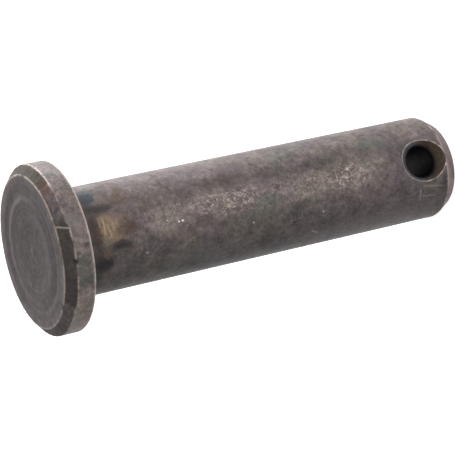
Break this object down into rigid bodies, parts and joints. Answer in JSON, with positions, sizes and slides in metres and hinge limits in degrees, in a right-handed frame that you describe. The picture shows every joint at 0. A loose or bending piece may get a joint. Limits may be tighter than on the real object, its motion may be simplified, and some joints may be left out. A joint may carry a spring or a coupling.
{
  "type": "clevis pin",
  "caption": "Solid clevis pin: plain round shank, flat disc head with a chamfered rim and a shallow turned face, countersunk cross hole for a split pin near the chamfered tip.",
  "frame": {"origin": "centre of the head's underside, the plane where the pin seats", "axes": "+Z along the pin's axis, from the tip to the head; Y along the cross hole"},
  "size_m": [0.0252, 0.0252, 0.0688],
  "materials": {
    "oxidised_steel": "dark oxide with grey-brown mottling, flecks of tan scale and bright worn edges"
  },
  "bodies": {
    "root": {"clevis_pin": "oxidised_steel"}
  },
  "joints": []
}
